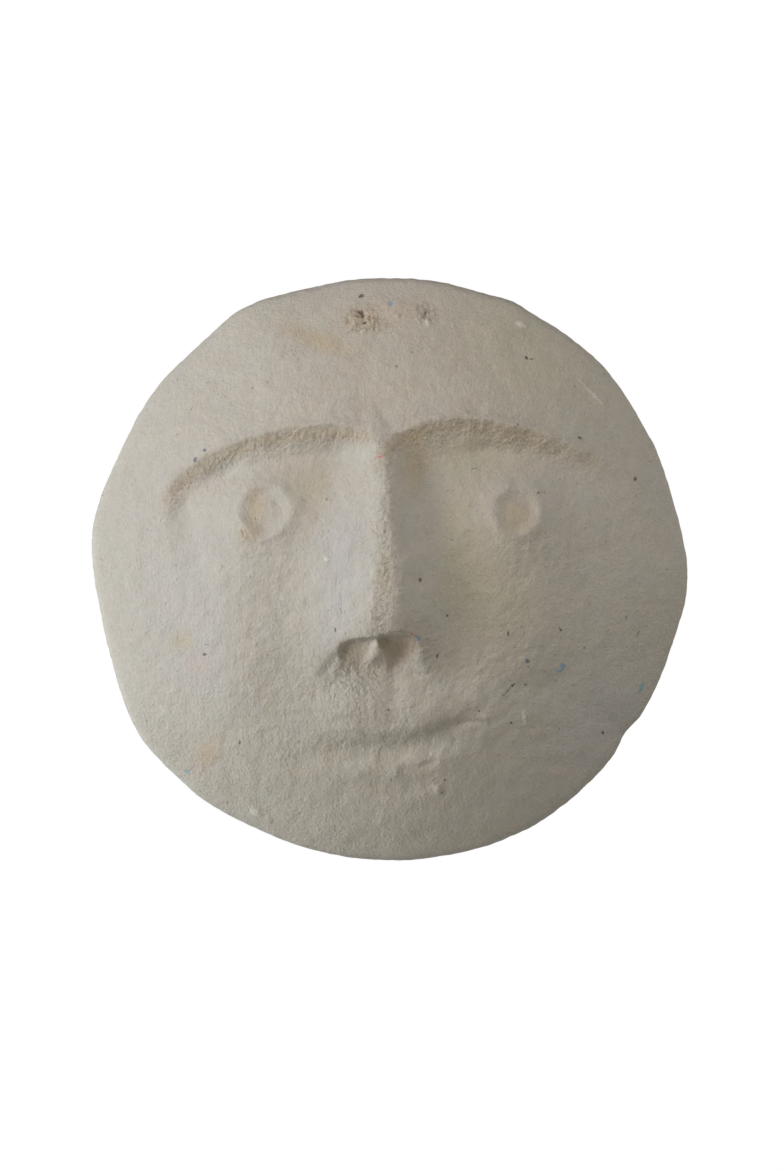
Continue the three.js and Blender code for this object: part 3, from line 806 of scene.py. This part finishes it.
# %% Rim and inside
RIM_FROM, RIM_TO = 0.955, 0.99
RIM_WAVER, RIM_WAVER_MIDDLE, RIM_WAVER_MOST = 0.5, 0.5, 1.5
RIM_SWELLS = [
    # share of the waver, size in mm, seed
    (0.5, 9, 41),
    (0.35, 2.6, 47),
]
BACK_PLANE = 0.3
WALL_FROM = 5
INSIDE_DENTS, INSIDE_CRUMBS, INSIDE_LEVEL = 0.9, 0.35, 0.3
FLAT_WAVES, FLAT_WAVES_SIZE, FLAT_TO = 0.25, 4.5, 0.985

near_rim = smooth_step(RIM_FROM, RIM_TO, share_out)
waver = RIM_WAVER_MIDDLE + sum(part * pulp_noise(size, seed) for part, size, seed in RIM_SWELLS)
waver = RIM_WAVER * near_rim * waver.clip(0, RIM_WAVER_MOST)
inside = ~front & (depth > BACK_PLANE) & (share_out < RIM_FROM)
dents = INSIDE_DENTS * (np.abs(pulp_noise(17, 64)) + 0.4 * pulp_noise(7, 70))
dents += INSIDE_CRUMBS * np.abs(pulp_noise(3.2, 83, octaves=2)) - INSIDE_LEVEL
away_from_rim = smooth_step(BACK_PLANE, WALL_FROM, depth)
depth = depth - dents * inside * away_from_rim
flat_back = ~front & (depth <= BACK_PLANE) & (share_out < FLAT_TO)
flat_waves = (pulp_noise(FLAT_WAVES_SIZE, 99, octaves=2) + 0.3).clip(0, 1)
depth = depth + FLAT_WAVES * flat_back * flat_waves
pull_in = 1 - waver / np.hypot(x, z).clip(1)
places = np.column_stack([x * pull_in, -depth, z * pull_in + FACE_CENTRE_Z]) * MM
face_mesh.vertices.foreach_set("co", places.ravel())
face_mesh.shade_smooth()
face_mesh.update()
moon_face = bpy.data.objects.new("moon_face", face_mesh)
bpy.context.scene.collection.objects.link(moon_face)
print("rim pulled in by up to", waver.max().round(2), "mm")

# %% [markdown]
# ## Broad tints
#
# Waste paper never gives one even grey. Where the pulp dried slowly it turned khaki, elsewhere pinkish or
# blue-grey, over areas as wide as a thumb. These soft areas, and the smallest crumbs of rust in the
# forehead's patch, are painted on the points of the mesh as a colour attribute, which the material
# multiplies into the grey of the pulp. A few of them are painted light and shade: a bluish cast on the left
# of the face for the cool light from that side, brown in the hollow of the left nostril for its shade, and
# the brown band under each brow edge, partly the pulp's own brown and partly painted shade under the step.
# The crumbly places are stored the same way.

# %% Paint the points
KHAKI = (0.97, 0.965, 0.88)
OCHRE = (1.0, 0.93, 0.80)
PINKISH = (1.04, 0.975, 0.97)
BLUISH = (0.97, 0.99, 1.06)
COOL = (0.985, 0.995, 1.03)
WARM = (1.008, 1.0, 0.975)
ORANGE = (1.03, 0.93, 0.82)
BROWN = (0.96, 0.90, 0.82)
RUSTY = (0.62, 0.47, 0.42)
TINTS = [
    # colour, place, wide, tall, turn
    (KHAKI, (44, 70), 34, 22, -30),
    (WARM, (5, 84), 40, 10, 0),
    (WARM, (-10, 58), 28, 12, 0),
    (OCHRE, (-23, 74.5), 12, 3, -22),
    (PINKISH, (3.5, 85), 8, 4, 0),
    (OCHRE, (-9, 81.5), 6, 4, 0),
    (RUSTY, (-11.0, 82.6), 0.7, 0.6, 0),
    (RUSTY, (-6.7, 82.0), 0.5, 0.9, 20),
    (RUSTY, (-10.6, 79.9), 0.6, 0.5, 0),
    (RUSTY, (-11.9, 78.4), 0.5, 0.9, -30),
    (RUSTY, (-14.2, 80.7), 0.8, 0.5, 0),
    (RUSTY, (-5.0, 79.6), 0.5, 0.8, 0),
    (RUSTY, (-13.4, 77.0), 0.7, 0.4, 40),
    (RUSTY, (11.0, 82.8), 0.7, 0.9, 0),
    (OCHRE, (-67.9, -23.3), 4, 3.6, 0),
    (PINKISH, (-63, -30.6), 5, 4, 0),
    (BLUISH, (-16, 2), 7, 24, 0),
    (COOL, (-21, -22), 6, 6, 0),
    # painted light: a bluish cast on the left side of the face, standing in for the cool light from the left
    (COOL, (-70, 0), 22, 34, 10),
    (COOL, (-62, -30), 14, 14, 0),
    (KHAKI, (27, 36), 20, 8, 0),
    (OCHRE, (8, 34), 4, 10, 0),
    (WARM, (-6, -24), 9, 6, 0),
    (WARM, (-28, -70), 38, 24, 0),
    (COOL, (52, -72), 26, 14, 30),
    (OCHRE, (-43.5, 19), 3.2, 6, 0),
    (OCHRE, (41, 17), 5, 5, 0),
    (KHAKI, (-25, 27), 9, 9, 0),
    (OCHRE, (-46, 11), 3.5, 3, 0),
    (KHAKI, (22, 4), 7, 28, 0),
    (KHAKI, (35, -8), 13, 20, 0),
    (ORANGE, (4, -26), 5.5, 4.5, 0),
    # painted shade: brown in the hollow of the left nostril
    (BROWN, (-12, -26.5), 5, 4, 0),
    (BLUISH, (9, -22.5), 1.6, 1.4, 0),
    (PINKISH, (7, -20.5), 2, 1.3, 0),
    (KHAKI, (-2, -2), 3, 8, 0),
    (BLUISH, (72, -46), 22, 18, 30),
    (PINKISH, (54.7, -67.1), 3, 2.5, 0),
    (PINKISH, (-64, -65), 4, 2.5, 0),
    (OCHRE, (-60, -60), 4, 3.5, 40),
]
BROW_BROWN_AND_SHADE, BROW_BROWN_AND_SHADE_WIDE = 2.3, 2.4

tint = np.ones((len(x), 3))
for colour, at, wide, tall, turn in TINTS:
    tint *= 1 + (np.array(colour) - 1) * mound(x, z, at, wide, tall, 1, turn)[:, None]
# A brown band under each brow edge: partly the pulp's own brown, partly painted shade under the brow step.
for handles, *_, rise, fall in BROWS:
    off = from_line(finger_line(handles), x, z)[0]
    band = bell(off + BROW_BROWN_AND_SHADE, BROW_BROWN_AND_SHADE_WIDE) * between(rise, fall, straight_share(handles, x, z))
    tint *= 1 + (np.array(BROWN) - 1) * band[:, None]
tint[~front] = 1

tint_layer = face_mesh.attributes.new("tint", "FLOAT_COLOR", "POINT")
tint_layer.data.foreach_set("color", np.column_stack([tint, np.ones(len(x))]).ravel())
for name, values in (("crumbs", np.maximum(crumbs, rough_patch)), ("front", front)):
    layer = face_mesh.attributes.new(name, "FLOAT", "POINT")
    layer.data.foreach_set("value", np.asarray(values, float))
print("tints from", tint.min(axis=0).round(2), "to", tint.max(axis=0).round(2))

# %% [markdown]
# ## Shader sums
#
# A material is a graph of nodes, but most of it is arithmetic. This class wraps a socket, so that `1 -
# mask` or `0.5 * grain` in Python adds the Math nodes, and `node` adds any other kind.

# %% A socket that can be used in sums
class Value:
    tree = None

    def __init__(self, socket):
        self.socket = socket

    @classmethod
    def node(cls, kind, settings=None, values=None, out=0):
        made = cls.tree.nodes.new(kind)
        for name, setting in (settings or {}).items():
            setattr(made, name, setting)
        for name, value in (values or {}).items():
            if isinstance(value, Value):
                cls.tree.links.new(value.socket, made.inputs[name])
            else:
                made.inputs[name].default_value = value
        return cls(made.outputs[out])

    @classmethod
    def sum(cls, operation, *parts):
        return cls.node("ShaderNodeMath", {"operation": operation}, dict(enumerate(parts)))

    def __add__(self, other):
        return Value.sum("ADD", self, other)

    def __mul__(self, other):
        return Value.sum("MULTIPLY", self, other)

    def __sub__(self, other):
        return Value.sum("SUBTRACT", self, other)

    def __rsub__(self, other):
        return Value.sum("SUBTRACT", other, self)

    __radd__ = __add__
    __rmul__ = __mul__


def noise_value(vector, size, detail=2, roughness=0.5, distortion=0):
    """Blender's noise, from 0 to 1, with grains of a size in mm."""
    values = {"Vector": vector, "Scale": 1 / size, "Detail": detail}
    values.update({"Roughness": roughness, "Distortion": distortion})
    return Value.node("ShaderNodeTexNoise", values=values)


def ramp(value, low, high, to_low=0, to_high=1):
    values = {"Value": value, "From Min": low, "From Max": high, "To Min": to_low, "To Max": to_high}
    return Value.node("ShaderNodeMapRange", {"interpolation_type": "SMOOTHSTEP"}, values)


def mix_colour(mask, under, over, blend="MIX"):
    settings = {"data_type": "RGBA", "blend_type": blend}
    return Value.node("ShaderNodeMix", settings, {0: mask, 6: under, 7: over}, out=2)


def vector_sum(operation, first, second):
    return Value.node("ShaderNodeVectorMath", {"operation": operation}, {0: first, 1: second})


def attribute(name, out="Fac"):
    return Value.node("ShaderNodeAttribute", {"attribute_name": name}, out=out)


print("shader tools ready")

# %% [markdown]
# ## The material: bare paper pulp
#
# Bare pulp is matt and warm grey. Up close it is a felt of short fibres, mottled, with flecks of what the
# paper once was: dark specks, a few bits of blue and teal, a rust stain. The pattern reads Object
# coordinates in millimetres, bent a little by noise so that no mark has a clean edge.

# %% Coordinates in mm, bent by noise
pulp_material = bpy.data.materials.new("paper_pulp")
pulp_material.use_nodes = True
Value.tree = pulp_material.node_tree
shader = pulp_material.node_tree.nodes["Principled BSDF"]

WOBBLE = 1.5
WOBBLE_SIZE = 1.3
object_place = Value.node("ShaderNodeTexCoord", out="Object")
place_mm = vector_sum("MULTIPLY", object_place, (1000, 1000, 1000))
bend_values = {"Vector": place_mm, "Scale": 1 / WOBBLE_SIZE, "Detail": 2}
bend = Value.node("ShaderNodeTexNoise", values=bend_values, out="Color")
offset = vector_sum("MULTIPLY", vector_sum("SUBTRACT", bend, (0.5, 0.5, 0.5)), (WOBBLE, WOBBLE, WOBBLE))
bent = vector_sum("ADD", place_mm, offset)
on_front = attribute("front")
crumb_mask = attribute("crumbs")

# %% The felt of fibres
PULP = (0.42, 0.385, 0.33, 1)
stretched = vector_sum("MULTIPLY", bent, (1, 1, 0.7))
felt = noise_value(place_mm, 0.9, detail=3, roughness=0.6)
fibres = noise_value(stretched, 0.5, detail=3, roughness=0.65, distortion=0.3)
smears = noise_value(vector_sum("MULTIPLY", place_mm, (1, 1, 0.1)), 1.1, detail=2, roughness=0.6)
blotches = noise_value(bent, 3.6, detail=3, roughness=0.6)
clouds = noise_value(place_mm, 17, detail=2)
hue = noise_value(place_mm, 9, detail=2, roughness=0.5)
fine_hue = noise_value(bent, 2.2, detail=2, roughness=0.6)

SHADES = [(0.20, felt), (0.15, fibres), (0.16, blotches), (0.10, clouds), (0.08, smears)]
shade = 1
for strength, pattern in SHADES:
    shade = shade + strength * (pattern - 0.5)
grey = Value.node("ShaderNodeCombineColor", values={0: shade, 1: shade, 2: shade})
WARMER, COOLER = (1.01, 0.992, 0.985, 1), (0.99, 1.003, 1.007, 1)
YELLOWER, BLUER = (1.005, 1.0, 0.975, 1), (0.997, 1.0, 1.02, 1)
warm_cool = mix_colour(ramp(hue, 0.3, 0.7), WARMER, COOLER)
yellow_blue = mix_colour(ramp(fine_hue, 0.25, 0.75), YELLOWER, BLUER)
colour = mix_colour(1, mix_colour(1, PULP, grey, "MULTIPLY"), warm_cool, "MULTIPLY")
colour = mix_colour(1, colour, yellow_blue, "MULTIPLY")
colour = mix_colour(1, colour, attribute("tint", out="Color"), "MULTIPLY")

# %% Flecks and stains in their places
DARK = (0.10, 0.088, 0.070, 1)
RUST = (0.125, 0.062, 0.048, 1)
BLUE = (0.15, 0.28, 0.42, 1)
BLUE_GREY = (0.20, 0.26, 0.35, 1)
NAVY = (0.09, 0.11, 0.15, 1)
TEAL = (0.17, 0.34, 0.35, 1)
RED = (0.46, 0.17, 0.15, 1)
PALE = (0.56, 0.52, 0.45, 1)
FLECKS = [
    # colour, how strong, then each place with its width, height and turn in degrees
    (DARK, 0.85, [
        (-9.4, 89.4, 0.9, 0.55, 0), (11.5, 83.4, 0.3, 0.8, 20), (44.6, 68.9, 0.6, 0.35, 0),
        (46.2, 68.5, 0.6, 0.35, 0), (41.6, 47.0, 0.45, 0.45, 0), (62.0, 42.7, 0.7, 0.3, -20),
        (80.1, 29.3, 0.4, 0.7, 0), (48.2, 24.6, 0.4, 0.4, 0), (-17.6, -19.7, 0.4, 0.8, 0),
        (9.7, -3.6, 0.45, 0.75, 0), (18.6, -15.1, 0.45, 0.45, 0), (-60.3, -27.9, 0.7, 0.35, 0),
        (15.4, -27.8, 0.4, 1.2, -25), (38.3, -21.0, 0.3, 0.9, 0), (55.4, -19.7, 0.4, 0.7, 30),
        (39.9, -37.8, 0.55, 0.9, -35), (38.2, -39.6, 0.22, 1.4, -40), (37.0, -41.1, 0.5, 0.4, 40),
        (43.9, -37.5, 0.5, 0.35, 0), (28.8, -46.0, 0.5, 0.4, 0), (39.6, -50.0, 0.45, 0.45, 0),
        (69.5, -53.6, 0.5, 0.5, 0), (-48.8, -56.6, 0.5, 0.5, 0), (17.0, -72.8, 0.7, 0.3, 30),
        (17.9, -68.7, 0.4, 0.4, 0), (-0.5, -45.7, 0.35, 0.35, 0),
    ]),
    (DARK, 0.45, [
        (-59.3, -24.7, 0.5, 0.3, 0), (-73.2, -11.2, 0.8, 0.25, 60), (63.3, -25.6, 0.35, 0.6, 0),
        (77.1, -16.1, 0.3, 0.7, 0), (81.0, -21.4, 0.25, 1.3, -20), (53.8, -36.5, 0.4, 0.4, 0),
        (-79.7, -50.3, 0.25, 1.8, 10), (-53.4, -76.6, 0.45, 0.45, 0), (-15.8, -12, 0.13, 5.5, -1),
        (27.5, 32.6, 1.1, 0.25, 20), (2.0, 66.0, 0.6, 0.6, 0), (-20.6, 22.5, 0.35, 0.5, 0),
        (-43.6, 16.2, 0.35, 0.5, 0), (7.0, 70.5, 0.4, 0.4, 0),
    ]),
    (RUST, 0.85, [(-9.8, 84.0, 1.1, 0.6, -25), (-9.0, 82.7, 0.6, 0.9, 15), (-8.2, 80.3, 0.9, 0.4, 30)]),
    (RUST, 0.4, [(12.4, 84.2, 1.0, 0.6, 20), (-47.9, 11.6, 0.3, 1.2, 25), (-47.0, 10.2, 0.7, 0.25, -20)]),
    (BLUE, 0.8, [(56.3, -31.8, 0.8, 1.2, -20), (55.1, -33.2, 0.9, 0.4, 30)]),
    (BLUE_GREY, 0.7, [(0.2, 86.8, 1.0, 0.9, 0), (9.0, -22.4, 0.7, 1.2, 30)]),
    (NAVY, 0.75, [(44.6, -29.9, 0.8, 0.7, 0), (-60.4, 38.6, 0.7, 0.5, 30), (-63.4, 35.6, 0.5, 0.9, -40)]),
    (TEAL, 0.75, [(82.4, -38.8, 0.8, 1.9, -25), (-66.6, -66.4, 1.0, 0.7, 0)]),
    (RED, 0.7, [(-3.1, 36.2, 1.1, 0.4, 10), (7.1, -20.9, 0.35, 0.35, 0)]),
    (PALE, 0.7, [
        (-20.5, 3.0, 0.8, 0.8, 0), (42.9, 80.2, 1.9, 0.9, -20), (12.3, 80.6, 0.7, 1.2, 30),
        (-44.2, -79.9, 1.8, 1.0, -20), (-7.4, -90.7, 1.6, 0.2, 10), (66, 57.5, 0.35, 6.0, 45),
        (-74.8, -45.4, 0.25, 1.6, 30), (43.6, -48.6, 0.6, 2.6, 10), (-71.8, -39.8, 0.25, 1.4, -50),
    ]),
]
FAR = 1000
EDGE_FROM, EDGE_TO = 0.75, 1.2


def fleck_distance(at_x, at_z, wide, tall, turn):
    """1 on the edge of an oval at this place, less inside it."""
    values = {
        "Vector": bent,
        "Location": (at_x, 0, at_z + FACE_CENTRE_Z),
        "Rotation": (0, -math.radians(turn), 0),
        "Scale": (wide, FAR, tall),
    }
    oval = Value.node("ShaderNodeMapping", {"vector_type": "TEXTURE"}, values)
    return Value.node("ShaderNodeVectorMath", {"operation": "LENGTH"}, {0: oval}, out="Value")


for fleck_colour, strength, spots in FLECKS:
    nearest = fleck_distance(*spots[0])
    for spot in spots[1:]:
        nearest = Value.sum("MINIMUM", nearest, fleck_distance(*spot))
    covered = strength * on_front * ramp(nearest, EDGE_TO, EDGE_FROM)
    colour = mix_colour(covered, colour, fleck_colour)
print(sum(len(spots) for *_, spots in FLECKS), "flecks in their places")

# %% Small specks strewn over everything
SPECK_CELL = 5.0
SPECK_SHARE = 0.14
SPECK_RADIUS = 0.055
SPECK_STRENGTH = 0.55
SPECK_COLOUR = (0.17, 0.155, 0.125, 1)
SPECK_SOFT, SPECK_HARD = 1.3, 0.6
on_face = Value.node("ShaderNodeMapping", values={"Vector": bent, "Rotation": (-math.radians(90), 0, 0)})
cell_settings = {"voronoi_dimensions": "2D", "feature": "F1"}
cell_values = {"Vector": on_face, "Scale": 1 / SPECK_CELL}
to_speck = Value.node("ShaderNodeTexVoronoi", cell_settings, cell_values, out="Distance")
lot = Value.node("ShaderNodeTexVoronoi", cell_settings, cell_values, out="Color")
lot = Value.node("ShaderNodeSeparateColor", values={0: lot})
chosen = Value.sum("LESS_THAN", lot, SPECK_SHARE)
speck = chosen * ramp(to_speck, SPECK_RADIUS * SPECK_SOFT, SPECK_RADIUS * SPECK_HARD)
colour = mix_colour(SPECK_STRENGTH * speck, colour, SPECK_COLOUR)

# %% Painted shade in the cracks between crumbs, painted highlight on their tops
PAINTED_CRACK_SHADE = (0.21, 0.175, 0.13, 1)
PAINTED_CRUMB_HIGHLIGHT = (0.50, 0.465, 0.40, 1)
crumb_grain = noise_value(bent, 1.15, detail=2, roughness=0.6)
# Painted shade: darker brown where the crumb grain is low, which is where the bump sinks between crumbs.
painted_shade_in_cracks = crumb_mask * ramp(crumb_grain, 0.47, 0.30)
colour = mix_colour(0.45 * painted_shade_in_cracks, colour, PAINTED_CRACK_SHADE)
# Painted highlight: paler where the crumb grain is high, which is where the bump rises on the crumbs.
painted_highlight_on_crumbs = crumb_mask * ramp(crumb_grain, 0.55, 0.70)
colour = mix_colour(0.35 * painted_highlight_on_crumbs, colour, PAINTED_CRUMB_HIGHLIGHT)

# %% The inside is darker and plainer
INSIDE_SHADE = 0.86
inside_shade = INSIDE_SHADE + (1 - INSIDE_SHADE) * on_front
inside_grey = Value.node("ShaderNodeCombineColor", values={0: inside_shade, 1: inside_shade, 2: inside_shade})
colour = mix_colour(1, colour, inside_grey, "MULTIPLY")

# %% Roughness and the height of the felt
FELT_HIGH, FIBRE_HIGH, BLOTCH_HIGH, SMEAR_HIGH, CRUMB_HIGH = 0.34, 0.2, 0.42, 0.12, 0.7
ROUGHEST, FELT_SMOOTHS = 0.97, 0.10
height = FELT_HIGH * felt + FIBRE_HIGH * fibres + BLOTCH_HIGH * blotches + SMEAR_HIGH * smears
height = height + CRUMB_HIGH * (crumb_mask * crumb_grain)
rough = ROUGHEST - FELT_SMOOTHS * felt
bump = Value.node("ShaderNodeBump", values={"Height": height, "Distance": MM, "Strength": 1.0})
pulp_material.node_tree.links.new(colour.socket, shader.inputs["Base Color"])
pulp_material.node_tree.links.new(rough.socket, shader.inputs["Roughness"])
pulp_material.node_tree.links.new(bump.socket, shader.inputs["Normal"])
DULL = 0.2
shader.inputs["Specular IOR Level"].default_value = DULL
face_mesh.materials.clear()
face_mesh.materials.append(pulp_material)
print(len(pulp_material.node_tree.nodes), "nodes in the material")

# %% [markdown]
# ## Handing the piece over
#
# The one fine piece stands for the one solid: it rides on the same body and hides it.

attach(moon_face, "root")
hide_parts(SHELL)
